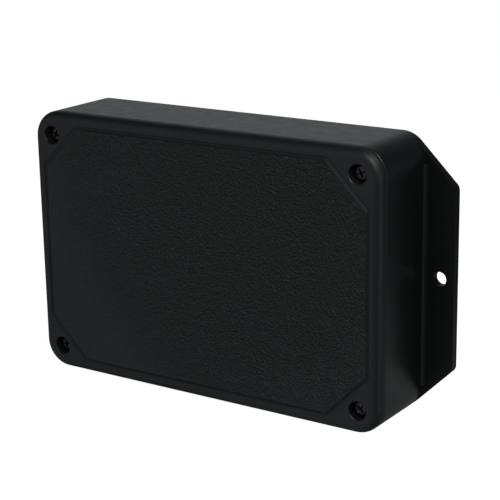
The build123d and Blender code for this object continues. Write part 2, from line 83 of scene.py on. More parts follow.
def add_camera():
    """A long lens right of the front and a little above, with a slight roll."""
    azimuth, elevation, roll = 34.03, 15.89, math.radians(-1.01)
    aim = Vector((8.98, 0.0, 43.06)) * MM
    distance = 441.5 * MM
    back = towards(azimuth, elevation)
    level = Vector((math.cos(math.radians(azimuth)), math.sin(math.radians(azimuth)), 0.0))
    upright = back.cross(level)
    right = math.cos(roll) * level + math.sin(roll) * upright
    up = math.cos(roll) * upright - math.sin(roll) * level
    data = bpy.data.cameras.new("camera")
    data.sensor_width = 36.0
    data.lens = 110.49
    data.clip_start = 0.01
    data.clip_end = 50.0
    camera = bpy.data.objects.new("camera", data)
    bpy.context.scene.collection.objects.link(camera)
    turn = Matrix((right, up, back)).transposed().to_4x4()
    camera.matrix_world = Matrix.Translation(aim + back * distance) @ turn
    bpy.context.scene.camera = camera


add_camera()
bpy.context.scene.view_settings.view_transform = "Standard"


# ---------------- node helpers
def node(tree, kind, links=(), **settings):
    """Adds a node. settings set its properties; links are (input, value or output socket)."""
    made = tree.nodes.new(kind)
    for key, value in settings.items():
        setattr(made, key, value)
    for key, value in links:
        if isinstance(value, bpy.types.NodeSocket):
            tree.links.new(value, made.inputs[key])
        else:
            made.inputs[key].default_value = value
    return made


def maths(tree, operation, a, b=None):
    links = [(0, a)] if b is None else [(0, a), (1, b)]
    return node(tree, "ShaderNodeMath", links, operation=operation).outputs[0]


def ramp(tree, value, low, high, to_low, to_high):
    """Maps value from low..high to to_low..to_high, clamped."""
    names = ("Value", "From Min", "From Max", "To Min", "To Max")
    links = zip(names, (value, low, high, to_low, to_high))
    return node(tree, "ShaderNodeMapRange", links).outputs["Result"]


def blend(tree, fac, a, b):
    """Colour from a to b by fac; a and b are colours or sockets."""
    made = node(tree, "ShaderNodeMix", [(0, fac)], data_type="RGBA")
    for socket, value in ((made.inputs[6], a), (made.inputs[7], b)):
        if isinstance(value, bpy.types.NodeSocket):
            tree.links.new(value, socket)
        else:
            socket.default_value = (*value, 1.0)
    return made.outputs[2]


def noise(tree, where, cell_mm, detail=3.0, roughness=0.6):
    """Noise whose cells are about that many millimetres."""
    links = [("Vector", where), ("Scale", 1.0 / (cell_mm * MM)), ("Detail", detail)]
    return node(tree, "ShaderNodeTexNoise", links + [("Roughness", roughness)]).outputs["Fac"]


def cells(tree, where, cell_mm):
    """Distance from the middle of cells of about that many millimetres."""
    links = [("Vector", where), ("Scale", 1.0 / (cell_mm * MM))]
    return node(tree, "ShaderNodeTexVoronoi", links).outputs["Distance"]


def distance_from(tree, where, point):
    links = [(0, where), (1, point)]
    return node(tree, "ShaderNodeVectorMath", links, operation="DISTANCE").outputs["Value"]


def stretched(tree, where, x, y, z):
    """The same place with its axes scaled, for marks that run along one of them."""
    return node(tree, "ShaderNodeMapping", [("Vector", where), ("Scale", (x, y, z))]).outputs[0]


def object_place(tree):
    return node(tree, "ShaderNodeTexCoord").outputs["Object"]


def bump(tree, height, distance_mm, under=None):
    links = [("Height", height), ("Distance", distance_mm * MM), ("Strength", 1.0)]
    if under is not None:
        links.append(("Normal", under))
    return node(tree, "ShaderNodeBump", links).outputs[0]


# ---------------- studio
def lobe(tree, direction, azimuth, elevation, sharpness, strength):
    """A soft bright part of the studio, strength * cos ** sharpness about its direction."""
    links = [(0, direction), (1, towards(azimuth, elevation))]
    dot = node(tree, "ShaderNodeVectorMath", links, operation="DOT_PRODUCT").outputs["Value"]
    value = maths(tree, "POWER", maths(tree, "MAXIMUM", dot, 0.0), sharpness)
    return maths(tree, "MULTIPLY", value, strength)


def add_world():
    """A dim studio with soft brighter parts, and a white backdrop behind the object."""
    world = bpy.data.worlds.new("studio")
    bpy.context.scene.world = world
    world.use_nodes = True
    tree = world.node_tree
    tree.nodes.clear()
    direction = node(tree, "ShaderNodeTexCoord").outputs["Generated"]
    total = STUDIO_BASE
    for settings in STUDIO_LOBES:
        total = maths(tree, "ADD", total, lobe(tree, direction, *settings))
    studio = node(tree, "ShaderNodeBackground", [("Color", STUDIO_TINT), ("Strength", total)])
    backdrop = node(tree, "ShaderNodeBackground", [("Color", (1.0, 1.0, 1.0, 1.0))])
    rays = node(tree, "ShaderNodeLightPath")
    links = [(0, rays.outputs["Is Camera Ray"]), (1, studio.outputs[0]), (2, backdrop.outputs[0])]
    mix = node(tree, "ShaderNodeMixShader", links)
    node(tree, "ShaderNodeOutputWorld", [("Surface", mix.outputs[0])])


def add_softbox(name, azimuth, elevation, distance, width, height, power):
    """A rectangular softbox that faces the object."""
    data = bpy.data.lights.new(name, "AREA")
    data.shape = "RECTANGLE"
    data.size = width
    data.size_y = height
    data.energy = power
    light = bpy.data.objects.new(name, data)
    bpy.context.scene.collection.objects.link(light)
    back = towards(azimuth, elevation)
    light.location = Vector((0.0, 0.0, MID_Z)) + back * distance
    light.rotation_euler = back.to_track_quat("Z", "Y").to_euler()
    light.visible_camera = False


def flat_stage(name, low_x, low_y, high_x, high_y, z):
    """A level rectangle that belongs to the stage, with an empty material tree."""
    mesh = bpy.data.meshes.new(name)
    corners = [(low_x, low_y, 0), (high_x, low_y, 0), (high_x, high_y, 0), (low_x, high_y, 0)]
    mesh.from_pydata(corners, [], [(0, 1, 2, 3)])
    sheet = bpy.data.objects.new(name, mesh)
    bpy.context.scene.collection.objects.link(sheet)
    sheet.location.z = z
    material = bpy.data.materials.new(name)
    material.use_nodes = True
    material.node_tree.nodes.clear()
    mesh.materials.append(material)
    sheet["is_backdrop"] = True
    return sheet, material.node_tree


def add_floor():
    """A pale sweep of floor: it glows evenly to the camera, and takes a faint shadow."""
    floor, tree = flat_stage("floor", -3.0, -3.0, 3.0, 3.0, -0.2 * MM)
    glow = node(tree, "ShaderNodeEmission", [("Color", (1.0, 1.0, 1.0, 1.0)), ("Strength", 0.93)])
    paint = node(tree, "ShaderNodeBsdfDiffuse", [("Color", (0.85, 0.85, 0.85, 1.0))])
    both = node(tree, "ShaderNodeAddShader", [(0, glow.outputs[0]), (1, paint.outputs[0])])
    node(tree, "ShaderNodeOutputMaterial", [("Surface", both.outputs[0])])
    floor.visible_glossy = False
    floor.visible_diffuse = False


def add_bounce():
    """A lit patch of floor beside the right-hand wall, which mirrors it in its lower part."""
    span = 140.0 * MM
    centre = Vector((base_high.x + 20.0 * MM, 40.0 * MM, 0.0))
    edges = (centre.x - span, centre.y - span, centre.x + span, centre.y + span)
    patch, tree = flat_stage("floor_bounce", *edges, -0.1 * MM)
    distance = distance_from(tree, node(tree, "ShaderNodeNewGeometry").outputs["Position"], centre)
    strength = ramp(tree, distance, 0.0, BOUNCE_REACH, BOUNCE_STRENGTH, 0.0)
    glow = node(tree, "ShaderNodeEmission", [("Color", (0.93, 0.98, 1.0, 1.0)), ("Strength", strength)])
    clear = node(tree, "ShaderNodeBsdfTransparent")
    both = node(tree, "ShaderNodeAddShader", [(0, glow.outputs[0]), (1, clear.outputs[0])])
    node(tree, "ShaderNodeOutputMaterial", [("Surface", both.outputs[0])])
    patch.visible_camera = False
    patch.visible_shadow = False


STUDIO_BASE = 0.022
STUDIO_TINT = (0.90, 0.965, 1.0, 1.0)
# azimuth, elevation, sharpness, strength
STUDIO_LOBES = [
    (-36.0, -12.0, 2.0, 0.345),
    (-34.0, 20.0, 16.0, 0.28),
    (-146.0, 16.0, 10.0, 0.365),
    (76.0, -4.0, 22.0, 1.05),
    (140.0, -8.0, 10.0, 0.07),
]
BOUNCE_REACH = 110.0 * MM
BOUNCE_STRENGTH = 0.22
add_world()
add_floor()
add_bounce()
add_softbox("softbox_key", 46.0, 40.0, 0.30, 0.08, 0.10, 0.26)
add_softbox("softbox_rim", 98.0, 52.0, 0.30, 0.12, 0.12, 0.11)


# ---------------- materials
def shader(name):
    """A new material, its tree, its Principled shader and the object's own coordinates."""
    material = bpy.data.materials.new(name)
    material.use_nodes = True
    tree = material.node_tree
    return material, tree, tree.nodes["Principled BSDF"], object_place(tree)


def drive(tree, bsdf, **sources):
    """Links sockets to the shader's inputs, under the short names in SHADER_INPUTS."""
    for name, source in sources.items():
        tree.links.new(source, bsdf.inputs[SHADER_INPUTS[name]])


def gloss(tree, where, cell_mm, low, high):
    """Roughness that wanders between two values."""
    return ramp(tree, noise(tree, where, cell_mm), 0.3, 0.7, low, high)


def dusted(tree, where, colour):
    """Colour with a few pale specks of dust on it."""
    amount = ramp(tree, cells(tree, where, DUST_MM), DUST_SPECK / 2, DUST_SPECK, 0.35, 0.0)
    return blend(tree, amount, colour, DUST)


def clouded(tree, where, mask, colours, masked_colours):
    """Clouds between the first two colours, or the other two where the mask is 1, with dust on them."""
    clouds = noise(tree, where, CLOUD_MM, 4.0)
    pair = (blend(tree, clouds, *colours), blend(tree, clouds, *masked_colours))
    return dusted(tree, where, blend(tree, mask, *pair))


def plastic(name, dark, light, roughness, grain_mm=0.35, grain_height=0.006, specular=0.5, dust=True):
    """Moulded plastic: faint clouding, uneven gloss, a fine moulded grain and a little dust."""
    material, tree, bsdf, where = shader(name)
    colour = blend(tree, noise(tree, where, CLOUD_MM, 4.0), dark, light)
    drive(
        tree, bsdf,
        colour=dusted(tree, where, colour) if dust else colour,
        roughness=gloss(tree, where, GLOSS_MM, roughness - 0.04, roughness + 0.04),
        normal=bump(tree, noise(tree, where, grain_mm, 2.0, 0.5), grain_height),
    )
    bsdf.inputs["Specular IOR Level"].default_value = specular
    return material


def metal(name, dark, light, roughness, along=(1.0, 1.0, 1.0), mark_mm=0.25, mark_height=0.002):
    """Bare or plated metal: clouded colour, uneven polish and fine marks along the small-scaled axis."""
    material, tree, bsdf, where = shader(name)
    bsdf.inputs["Metallic"].default_value = 1.0
    polish = noise(tree, stretched(tree, where, *along), mark_mm, 4.0)
    drive(
        tree, bsdf,
        colour=blend(tree, noise(tree, where, 1.6, 4.0), dark, light),
        roughness=ramp(tree, polish, 0.3, 0.7, roughness - 0.06, roughness + 0.08),
        normal=bump(tree, polish, mark_height),
    )
    return material


def panel_mask(tree, where):
    """1 on the lid's grained panel, inside the groove with its cut corners, and 0 on the rim round it."""
    place = node(tree, "ShaderNodeSeparateXYZ", [(0, where)])
    half_x = (lid_high.x - lid_low.x) / 2 - PANEL_INSET
    half_z = (lid_high.z - lid_low.z) / 2 - PANEL_INSET
    x = maths(tree, "ABSOLUTE", place.outputs["X"])
    z = maths(tree, "ABSOLUTE", maths(tree, "SUBTRACT", place.outputs["Z"], MID_Z))
    sides = (
        maths(tree, "SUBTRACT", half_x, x),
        maths(tree, "SUBTRACT", half_z, z),
        maths(tree, "SUBTRACT", half_x + half_z - PANEL_CORNER, maths(tree, "ADD", x, z)),
    )
    inside = maths(tree, "MINIMUM", maths(tree, "MINIMUM", sides[0], sides[1]), sides[2])
    front = ramp(tree, place.outputs["Y"], FRONT_Y + 0.1 * MM, FRONT_Y + 0.3 * MM, 1.0, 0.0)
    return maths(tree, "MULTIPLY", ramp(tree, inside, 0.0, 0.3 * MM, 0.0, 1.0), front)


def grain_depth(tree, where):
    """The grain is deepest near the upper right of the panel and shallower towards the lower left."""
    distance = distance_from(tree, where, (0.6 * lid_high.x, FRONT_Y, lid_high.z))
    patches = ramp(tree, noise(tree, where, 11.0, 2.0), 0.35, 0.65, 0.75, 1.0)
    return maths(tree, "MULTIPLY", ramp(tree, distance, 25.0 * MM, 95.0 * MM, 1.0, 0.12), patches)


def lid_finish():
    """Black plastic with a leather grain on the panel and a smoother rim. The panel is painted lighter than
    the rim and its specular level rises with the grain's depth, most towards the upper right: painted light
    that makes up for the shade its grain bump casts.
    """
    material, tree, bsdf, where = shader("lid_plastic")
    panel = panel_mask(tree, where)
    level = ramp(tree, panel, 0.0, 1.0, RIM_ROUGHNESS, PANEL_ROUGHNESS)
    pebbles = maths(tree, "MULTIPLY", cells(tree, where, GRAIN_MM), 0.9)
    fine = noise(tree, where, GRAIN_MM * 0.55, 2.0, 0.6)
    depth = maths(tree, "MULTIPLY", panel, grain_depth(tree, where))
    leather = maths(tree, "MULTIPLY", maths(tree, "ADD", pebbles, fine), depth)
    surface = bump(tree, noise(tree, where, 0.35, 2.0, 0.5), 0.005)
    # Painted light: lighter blacks on the panel, and a specular level that grows with the grain's depth.
    drive(
        tree, bsdf,
        colour=clouded(tree, where, panel, RIM_BLACKS, PANEL_BLACKS),
        roughness=maths(tree, "ADD", level, gloss(tree, where, GLOSS_MM, -0.03, 0.03)),
        normal=bump(tree, leather, GRAIN_HEIGHT, surface),
        specular=ramp(tree, depth, 0.0, 1.0, 0.45, 0.68),
    )
    return material


def case_finish():
    """Black plastic, painted darker than the lid's as shade on the walls. The mounting flanges and the coves
    where they meet the walls get more painted shade, a darker black and a lower specular level, and a duller
    finish.
    """
    material, tree, bsdf, where = shader("case_plastic")
    place = node(tree, "ShaderNodeSeparateXYZ", [(0, where)])
    across = maths(tree, "ABSOLUTE", place.outputs["X"])
    behind = ramp(tree, place.outputs["Y"], COVE_Y, COVE_Y + 0.6 * MM, 0.0, 1.0)
    outside = ramp(tree, across, FLANGE_ROOT, FLANGE_ROOT + 0.1 * MM, 0.0, 1.0)
    # Painted shade: this mask marks the flanges and coves, which get darker blacks and a lower specular level
    # as well as a rougher finish.
    painted_shade_mask = maths(tree, "MULTIPLY", behind, outside)
    level = ramp(tree, painted_shade_mask, 0.0, 1.0, CASE_ROUGHNESS, FLANGE_ROUGHNESS)
    drive(
        tree, bsdf,
        colour=clouded(tree, where, painted_shade_mask, CASE_BLACKS, FLANGE_SHADE_BLACKS),
        roughness=maths(tree, "ADD", level, gloss(tree, where, GLOSS_MM, -0.04, 0.04)),
        normal=bump(tree, noise(tree, where, 0.35, 2.0, 0.5), 0.006),
        specular=ramp(tree, painted_shade_mask, 0.0, 1.0, 0.5, 0.28),
    )
    return material


def laminate(name, dark, light):
    """Solder resist over glass weave: green with the weave and the copper pour showing faintly."""
    material, tree, bsdf, where = shader(name)
    waves = []
    for direction in ("X", "Z"):
        links = [("Vector", where), ("Scale", WEAVE_SCALE)]
        waves.append(node(tree, "ShaderNodeTexWave", links, bands_direction=direction).outputs["Fac"])
    weave = maths(tree, "MULTIPLY", *waves)
    tone = maths(tree, "ADD", noise(tree, where, 14.0, 2.0), maths(tree, "MULTIPLY", weave, 0.25))
    drive(
        tree, bsdf,
        colour=blend(tree, ramp(tree, tone, 0.35, 0.9, 0.0, 1.0), dark, light),
        roughness=gloss(tree, where, 2.0, 0.24, 0.36),
        normal=bump(tree, weave, 0.008),
    )
    bsdf.inputs["Coat Weight"].default_value = 0.3
    bsdf.inputs["Coat Roughness"].default_value = 0.15
    return material


def clear_plastic(name):
    """Clear acrylic with faint flow lines."""
    material, tree, bsdf, where = shader(name)
    drive(
        tree, bsdf,
        colour=blend(tree, noise(tree, where, 1.5), (0.80, 0.86, 0.86), (0.95, 0.98, 0.98)),
        roughness=gloss(tree, where, 0.5, 0.08, 0.16),
        normal=bump(tree, noise(tree, where, 0.8), 0.004),
    )
    bsdf.inputs["Transmission Weight"].default_value = 0.85
    bsdf.inputs["IOR"].default_value = 1.49
    return material


SHADER_INPUTS = {
    "colour": "Base Color", "roughness": "Roughness", "normal": "Normal", "specular": "Specular IOR Level",
}
CLOUD_MM = 9.0
GLOSS_MM = 3.5
DUST_MM = 4.0
DUST_SPECK = 0.045
DUST = (0.12, 0.12, 0.12)
WEAVE_SCALE = 700.0
# The panel's blacks are lighter than the rim's: painted light that makes up for the shade of the panel's
# grain.
RIM_BLACKS = (0.0085, 0.0092, 0.0098), (0.0105, 0.0113, 0.0120)
PANEL_BLACKS = (0.0125, 0.0134, 0.0140), (0.0155, 0.0165, 0.0172)
# The case's blacks are darker than the lid's, painted shade on its walls; the flange blacks are darker again,
# painted shade on the flanges and in the coves.
CASE_BLACKS = (0.0064, 0.0070, 0.0075), (0.0082, 0.0088, 0.0094)
FLANGE_SHADE_BLACKS = (0.0045, 0.0049, 0.0053), (0.0058, 0.0062, 0.0066)
FLANGE_ROOT = 59.2 * MM
COVE_Y = base_high.y - 4.0 * MM
CASE_ROUGHNESS = 0.33
FLANGE_ROUGHNESS = 0.42
PANEL_INSET = 4.2 * MM
PANEL_CORNER = 12.6 * MM
PANEL_ROUGHNESS = 0.44
RIM_ROUGHNESS = 0.46
GRAIN_MM = 0.75
GRAIN_HEIGHT = 1.8

ALONG_Y = (1.0, 0.12, 1.0)
ALONG_X = (0.12, 1.0, 1.0)
# dark, light, roughness, direction of the marks, their size and height in mm
METALS = {
    "insert_brass": ((0.60, 0.40, 0.15), (0.74, 0.53, 0.24), 0.30, ALONG_Y),
    "screw_steel": ((0.045, 0.045, 0.048), (0.08, 0.08, 0.085), 0.36, ALONG_Y),
    "spreader_aluminium": ((0.70, 0.71, 0.72), (0.80, 0.81, 0.82), 0.36, ALONG_X),
    "shield_tinplate": ((0.62, 0.61, 0.58), (0.72, 0.71, 0.68), 0.34, ALONG_X, 0.3, 0.0006),
    "can_aluminium": ((0.72, 0.72, 0.72), (0.82, 0.82, 0.82), 0.24, ALONG_Y, 0.3),
    "plated_nickel": ((0.58, 0.56, 0.51), (0.70, 0.68, 0.63), 0.24, ALONG_X, 0.4),
    "jack_gold": ((0.74, 0.50, 0.17), (0.86, 0.63, 0.27), 0.22, ALONG_Y, 0.35),
}
# dark, light, roughness, size and height of the grain in mm, specular level, whether dust lies on it
PLASTICS = {
    "gap_pad": ((0.30, 0.34, 0.42), (0.36, 0.41, 0.50), 0.75, 0.8, 0.03, 0.3),
    "chip_moulding": ((0.013, 0.013, 0.014), (0.022, 0.022, 0.023), 0.55, 0.12),
    "ferrite": ((0.035, 0.033, 0.034), (0.060, 0.057, 0.056), 0.62, 0.2, 0.02),
    "resistor_film": ((0.012, 0.012, 0.016), (0.022, 0.022, 0.028), 0.30, 0.3, 0.003),
    "capacitor_ceramic": ((0.30, 0.18, 0.09), (0.42, 0.27, 0.15), 0.48, 0.2, 0.004),
    "jack_moulding": ((0.010, 0.010, 0.011), (0.017, 0.017, 0.018), 0.46, 0.3, 0.012),
    "led_moulding": ((0.70, 0.71, 0.66), (0.82, 0.83, 0.79), 0.35, 0.3, 0.003, 0.5, False),
    "white_insulator": ((0.72, 0.72, 0.68), (0.82, 0.82, 0.79), 0.45, 0.4, 0.004, 0.5, False),
    "duplexer_ceramic": ((0.36, 0.30, 0.21), (0.46, 0.40, 0.30), 0.5, 0.2),
    "ink": ((0.62, 0.62, 0.58), (0.72, 0.72, 0.68), 0.55, 0.2, 0.002, 0.5, False),
}
finishes = {
    "case_plastic": case_finish(),
    "lid_plastic": lid_finish(),
    "light_pipe_clear": clear_plastic("light_pipe_clear"),
    "board_laminate": laminate("board_laminate", (0.006, 0.060, 0.026), (0.012, 0.105, 0.045)),
    "trace": laminate("trace", (0.012, 0.115, 0.045), (0.020, 0.165, 0.066)),
}
finishes.update({name: metal(name, *row) for name, row in METALS.items()})
finishes.update({name: plastic(name, *row) for name, row in PLASTICS.items()})
slots = {row["node"]: row["material_slot"] for row in frame["record"]["subparts"]}
for name, obj in nodes.items():
    obj.data.materials.clear()
    obj.data.materials.append(finishes[slots[name]])


# ---------------- mesh helpers
def finish_piece(name, bm, body, finish, replaces=(), crease=35.0):
    """Turns a bmesh into a piece that rides on a body, with sharp edges where it bends more than crease."""
    bmesh.ops.remove_doubles(bm, verts=bm.verts, dist=1e-7)
    bmesh.ops.recalc_face_normals(bm, faces=bm.faces)
    for face in bm.faces:
        face.smooth = True
    for edge in bm.edges:
        if len(edge.link_faces) == 2 and edge.calc_face_angle() > math.radians(crease):
            edge.smooth = False
    mesh = bpy.data.meshes.new(name)
    bm.to_mesh(mesh)
    bm.free()
    mesh.materials.append(finishes[finish])
    piece = bpy.data.objects.new(name, mesh)
    bpy.context.scene.collection.objects.link(piece)
    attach(piece, body)
    if replaces:
        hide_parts(*replaces)


def in_mm(origin, axis, spin=0.0):
    """A placement in mm whose local Z runs from origin along axis, turned by spin degrees about it."""
    turn = axis.to_track_quat("Z", "Y").to_matrix().to_4x4()
    spun = Matrix.Translation(origin) @ turn @ Matrix.Rotation(math.radians(spin), 4, "Z")
    return spun @ Matrix.Scale(MM, 4)


def skin(bm, rings, closed=False):
    """Joins each ring of vertices to the next, and the last to the first if closed; else caps both ends."""
    pairs = list(zip(rings, rings[1:]))
    if closed:
        pairs.append((rings[-1], rings[0]))
    else:
        bm.faces.new(rings[0][::-1])
        bm.faces.new(rings[-1])
    for lower, upper in pairs:
        for k in range(len(lower)):
            m = (k + 1) % len(lower)
            bm.faces.new((lower[k], lower[m], upper[m], upper[k]))
    return bm


def turned(bm, place, profile, segments=48, shape=None, closed=False):
    """Adds a turned solid. profile is (along, radius) in mm; shape(angle, along, radius) may vary the radius.
    A closed profile makes a ring; an open one is capped at both ends."""
    rings = []
    for along, radius in profile:
        ring = []
        for k in range(segments):
            angle = 2 * math.pi * k / segments
            r = shape(angle, along, radius) if shape else radius
            ring.append(bm.verts.new(place @ Vector((r * math.cos(angle), r * math.sin(angle), along))))
        rings.append(ring)
    return skin(bm, rings, closed)


def steps(start, end, step):
    count = max(1, round((end - start) / step))
    return [start + (end - start) * k / count for k in range(count + 1)]


def threaded(pitch, depth, start, end):
    """A right-hand thread cut into the given radius between two places along the axis."""

    def shape(angle, along, radius):
        if not start <= along <= end:
            return radius
        phase = (along / pitch - angle / (2 * math.pi)) % 1.0
        crest = min(1.0, 1.25 * (1 - abs(2 * phase - 1)))
        fade = min(1.0, (along - start) / pitch, (end - along) / pitch)
        return radius - depth * (1 - crest * fade)

    return shape


def block(bm, low, high, bevel=0.0, bevel_steps=2):
    """Adds a box between two corners in metres, with rounded edges."""
    made = bmesh.ops.create_cube(bm, size=1.0)["verts"]
    bmesh.ops.scale(bm, vec=high - low, verts=made)
    bmesh.ops.translate(bm, vec=(low + high) / 2, verts=made)
    if bevel > 0:
        edges = list({edge for vert in made for edge in vert.link_edges})
        bmesh.ops.bevel(bm, geom=edges, offset=bevel, segments=bevel_steps, affect="EDGES", profile=0.5)
    return bm


def on_board(x, z, width, height, front, back):
    """Corners in metres of a box centred on (x, z), from back to front mm above the board's face."""
    low = Vector((x - width * MM / 2, BOARD_Y - front * MM, z - height * MM / 2))
    high = Vector((x + width * MM / 2, BOARD_Y - back * MM, z + height * MM / 2))
    return low, high


def prism(bm, outline, front, back):
    """Adds a plate: an outline of (x, z) in metres between two depths y."""
    return skin(bm, [[bm.verts.new((x, y, z)) for x, z in outline] for y in (front, back)])


def mitred(points):
    """Each point of a path, the path's direction there, and how much wider the section gets in the bend."""
    for k, here in enumerate(points):
        before = (here - points[k - 1]).normalized() if k > 0 else (points[1] - here).normalized()
        after = (points[k + 1] - here).normalized() if k + 1 < len(points) else before
        along = (before + after).normalized()
        yield here, along, 1 / max(0.5, along.dot(before))


def flat_path(bm, points, width, front, back):
    """Adds a flat conductor of constant width along points (x, z), with mitred corners."""
    left, right = [], []
    for here, along, wider in mitred(points):
        across = Vector((-along.y, along.x)) * (width / 2 * wider)
        left.append(here + across)
        right.append(here - across)
    return prism(bm, [(p.x, p.y) for p in left + right[::-1]], front, back)


def lead(bm, path, side, width, thickness):
    """Adds a bent strip of metal: a path of points, the direction of its width, and its section."""
    rings = []
    for here, along, wider in mitred(path):
        out = along.cross(side) * (thickness / 2 * wider)
        half = side * (width / 2)
        corners = (here + half + out, here - half + out, here - half - out, here + half - out)
        rings.append([bm.verts.new(corner) for corner in corners])
    return skin(bm, rings)


def carve(solid, tools):
    """Cuts the bmesh tools out of the bmesh solid and returns the result as a bmesh."""
    made = []
    for source in [solid] + tools:
        bmesh.ops.recalc_face_normals(source, faces=source.faces)
        mesh = bpy.data.meshes.new("cutting")
        source.to_mesh(mesh)
        source.free()
        obj = bpy.data.objects.new("cutting", mesh)
        bpy.context.scene.collection.objects.link(obj)
        made.append(obj)
    for tool in made[1:]:
        cut = made[0].modifiers.new(tool.name, "BOOLEAN")
        cut.operation = "DIFFERENCE"
        cut.solver = "EXACT"
        cut.object = tool
    bpy.context.view_layer.update()
    evaluated = made[0].evaluated_get(bpy.context.evaluated_depsgraph_get())
    result = bmesh.new()
    result.from_mesh(evaluated.to_mesh())
    evaluated.to_mesh_clear()
    for obj in made:
        mesh = obj.data
        bpy.data.objects.remove(obj)
        bpy.data.meshes.remove(mesh)
    return result


def centre_of(name):
    low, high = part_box(name)
    return (low + high) / 2


# ---------------- screws and inserts
INWARDS = Vector((0.0, 1.0, 0.0))
OUT_LEFT = Vector((-1.0, 0.0, 0.0))
INTO_CASE = Vector((1.0, 0.0, 0.0))


def cross_cutter(place, top_half, bottom_half, wide, narrow, depth, turn):
    """One tapered wing of a cross recess, from just above the head down to depth, in mm."""
    tool = bmesh.new()
    spin = place @ Matrix.Rotation(math.radians(turn), 4, "Z")
    rings = []
    for along, half, thick in ((-0.4, top_half * 1.1, wide * 1.1), (depth, bottom_half, narrow)):
        corners = ((half, thick / 2), (-half, thick / 2), (-half, -thick / 2), (half, -thick / 2))
        rings.append([tool.verts.new(spin @ Vector((x, y, along))) for x, y in corners])
    return skin(tool, rings)


SCREW_RADIUS = 1.25
SCREW_THREAD_DEPTH = 0.24
SCREW_TURNS = (22.0, 64.0, -12.0, 41.0)
LID_HEAD_HEIGHT = 1.9
BOARD_HEAD_RADIUS = 2.3
BOARD_HEAD_HEIGHT = 1.6


def screw(place, head_radius, head_height, length, pitch):
    """A pan-head screw with a cross recess and a real thread; along runs from the head's top to the tip."""
    head = bmesh.new()
    dome = [(0.0, head_radius * 0.45), (0.03, head_radius * 0.6)]
    for k in range(1, 8):
        angle = math.radians(90.0 * k / 7)
        fall = 0.85 * (1 - math.cos(angle)) * head_height / LID_HEAD_HEIGHT
        dome.append((0.03 + fall, head_radius * (0.6 + 0.4 * math.sin(angle))))
    rim = [(head_height - 0.06, head_radius), (head_height, head_radius - 0.06)]
    turned(head, place, dome + rim, 56)
    recess = (0.62 * head_radius, 0.2 * head_radius, 0.62, 0.34, 0.62 * head_height)
    tools = [cross_cutter(place, *recess, turn) for turn in (0.0, 90.0)]
    core = [(-0.4, 0.62), (0.35 * head_height, 0.45), (0.78 * head_height, 0.08)]
    whole = carve(head, tools + [turned(bmesh.new(), place, core, 16)])
    tip = head_height + length
    start, end = head_height + 0.3, tip - 0.35
    neck = SCREW_RADIUS - 0.02
    profile = [(head_height - 0.05, neck), (head_height + 0.2, neck)]
    profile += [(along, SCREW_RADIUS) for along in steps(start, end, pitch / 7)]
    profile += [(tip, SCREW_RADIUS * 0.55)]
    return turned(whole, place, profile, 28, threaded(pitch, SCREW_THREAD_DEPTH, start, end))


for corner, turn in zip(CORNERS, SCREW_TURNS):
    low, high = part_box(f"lid_screw_{corner}")
    top = Vector(((low.x + high.x) / 2, low.y, (low.z + high.z) / 2))
    head_radius = (high.x - low.x) / MM / 2
    length = (high.y - low.y) / MM - LID_HEAD_HEIGHT
    bm = screw(in_mm(top, INWARDS, turn), head_radius, LID_HEAD_HEIGHT, length, 0.45)
    finish_piece(f"{corner}_screw", bm, f"screw_{corner}", "screw_steel", replaces=[f"lid_screw_{corner}"])

bm = bmesh.new()
low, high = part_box("board_screws")
inset = BOARD_HEAD_RADIUS * MM
standoffs = [(x, z) for x in (low.x + inset, high.x - inset) for z in (low.z + inset, high.z - inset)]
for (x, z), turn in zip(standoffs, SCREW_TURNS[::-1]):
    place = in_mm(Vector((x, low.y, z)), INWARDS, turn)
    length = (high.y - low.y) / MM - BOARD_HEAD_HEIGHT
    made = screw(place, BOARD_HEAD_RADIUS, BOARD_HEAD_HEIGHT, length, 0.6)
    mesh = bpy.data.meshes.new("board_screw")
    made.to_mesh(mesh)
    made.free()
    bm.from_mesh(mesh)
    bpy.data.meshes.remove(mesh)
finish_piece("board_screw_set", bm, "case", "screw_steel", replaces=["board_screws"])

bm = bmesh.new()
low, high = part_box("brass_inserts")
INSERT_RADIUS = 2.0


def knurl(angle, along, radius):
    """Slanted ridges round the insert, leaning one way at its mouth and the other way below the waist."""
    if radius < INSERT_RADIUS - 0.1:
        return radius
    lean = 0.5 if along < 3.0 else -0.5
    return radius - 0.07 * (1 + math.cos(28 * angle + lean * 2 * math.pi * along))


insert_profile = [(0.0, 1.3), (0.0, 1.85), (0.15, 1.95)]
insert_profile += [(along, INSERT_RADIUS) for along in steps(0.3, 2.3, 0.2)]
insert_profile += [(2.4, 1.75), (3.6, 1.75)]
insert_profile += [(along, INSERT_RADIUS) for along in steps(3.7, 5.6, 0.2)]
insert_profile += [(6.0, 1.8), (6.0, 1.3)]
for x in (low.x + INSERT_RADIUS * MM, high.x - INSERT_RADIUS * MM):
    for z in (low.z + INSERT_RADIUS * MM, high.z - INSERT_RADIUS * MM):
        place = in_mm(Vector((x, low.y, z)), INWARDS)
        turned(bm, place, insert_profile, 112, knurl, closed=True)
finish_piece("insert_set", bm, "case", "insert_brass", replaces=["brass_inserts"])


